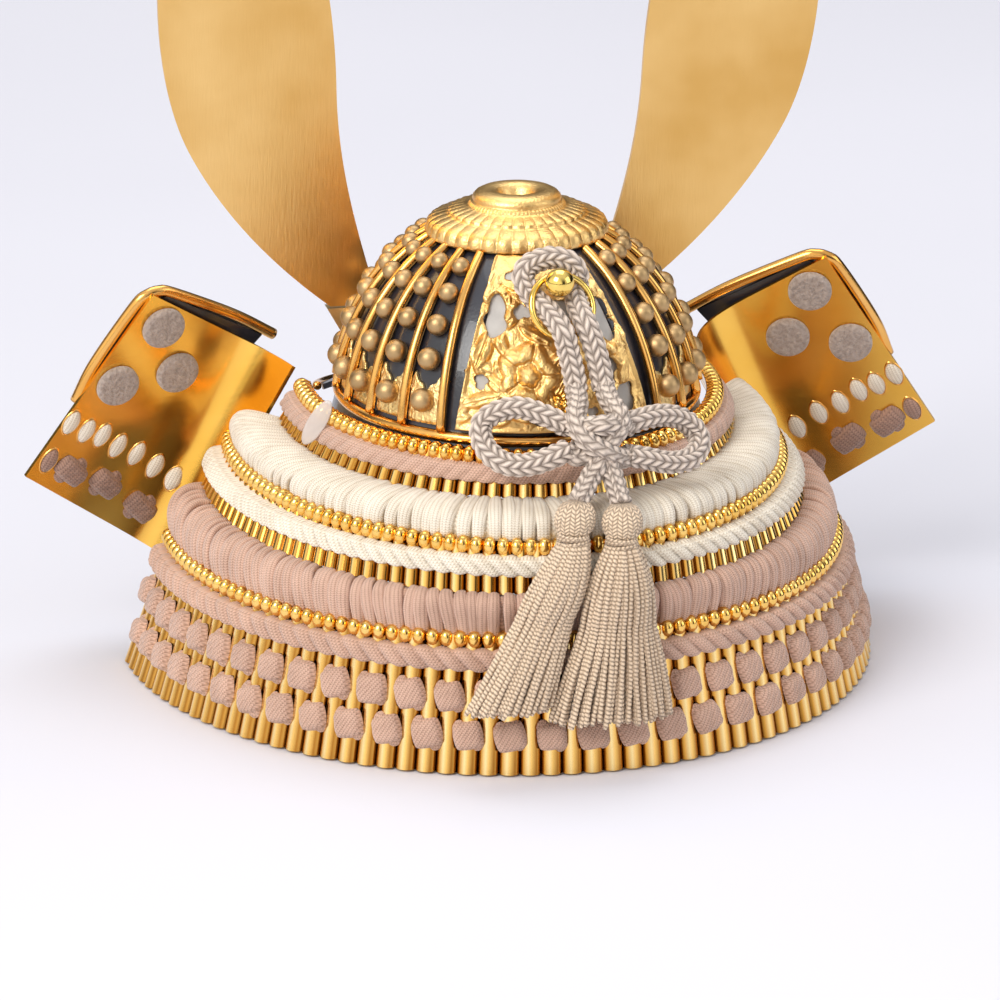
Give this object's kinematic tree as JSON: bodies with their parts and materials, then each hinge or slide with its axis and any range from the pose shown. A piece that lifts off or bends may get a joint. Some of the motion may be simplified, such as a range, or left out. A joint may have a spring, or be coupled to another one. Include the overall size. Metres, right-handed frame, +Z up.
{
  "type": "miniature display kabuto helmet",
  "caption": "Small display samurai helmet: studded bowl, laced neck guard, turned-back wings, flat horns and a tasselled cord bow.",
  "frame": {"origin": "middle of the box's underside, on the plane of the neck guard's bottom edge", "axes": "+Z up, +Y the way the wearer faces, +X to the wearer's right"},
  "size_m": [0.1698, 0.1157, 0.1497],
  "materials": {
    "black_lacquer": "satin black lacquer",
    "gold_rod": "polished gold plate",
    "gold_sheet": "brushed gold plate",
    "gold_lame": "bright gold plate",
    "cast_gold": "matt cast gold",
    "ivory_braid": "flat knitted tape",
    "pink_braid": "flat knitted tape",
    "felt": "wool felt",
    "cord_braid": "round silk braid",
    "tassel_silk": "twisted silk strands",
    "clear_plastic": "frosted clear tab"
  },
  "bodies": {
    "root": {"bowl_shell": "black_lacquer", "neck_band": "black_lacquer", "visor": "black_lacquer", "wing_board_right": "black_lacquer", "wing_board_left": "black_lacquer", "rib_left_1": "gold_rod", "rib_left_2": "gold_rod", "rib_left_3": "gold_rod", "rib_left_4": "gold_rod", "rib_left_5": "gold_rod", "rib_left_6": "gold_rod", "rib_left_7": "gold_rod", "rib_left_8": "gold_rod", "rib_right_1": "gold_rod", "rib_right_2": "gold_rod", "rib_right_3": "gold_rod", "rib_right_4": "gold_rod", "rib_right_5": "gold_rod", "rib_right_6": "gold_rod", "rib_right_7": "gold_rod", "rib_right_8": "gold_rod", "back_plate": "cast_gold", "front_plate": "cast_gold", "crown": "cast_gold", "horn_base": "cast_gold", "bowl_rim": "gold_rod", "visor_rim": "gold_rod", "wing_rim_right": "gold_rod", "wing_rim_left": "gold_rod", "lame_1": "gold_lame", "lame_2": "gold_lame", "lame_3": "gold_lame", "cord_ring": "gold_lame", "ring_stud": "gold_lame", "braid_band_1": "pink_braid", "braid_band_3": "pink_braid", "knot_row_upper": "pink_braid", "knot_row_lower": "pink_braid", "lacing_pink": "pink_braid", "braid_band_2": "ivory_braid", "lacing_ivory": "ivory_braid", "wing_plate_right": "gold_sheet", "wing_plate_left": "gold_sheet", "horn_right": "gold_sheet", "horn_left": "gold_sheet", "felt_disc_upper_right": "felt", "felt_disc_upper_left": "felt", "felt_disc_inner_right": "felt", "felt_disc_inner_left": "felt", "felt_disc_outer_right": "felt", "felt_disc_outer_left": "felt", "clear_tab": "clear_plastic", "hanger_cord": "cord_braid", "bow_ear_left": "cord_braid", "bow_ear_right": "cord_braid", "bow_knot": "cord_braid", "tassel_left": "tassel_silk", "tassel_right": "tassel_silk"}
  },
  "joints": []
}
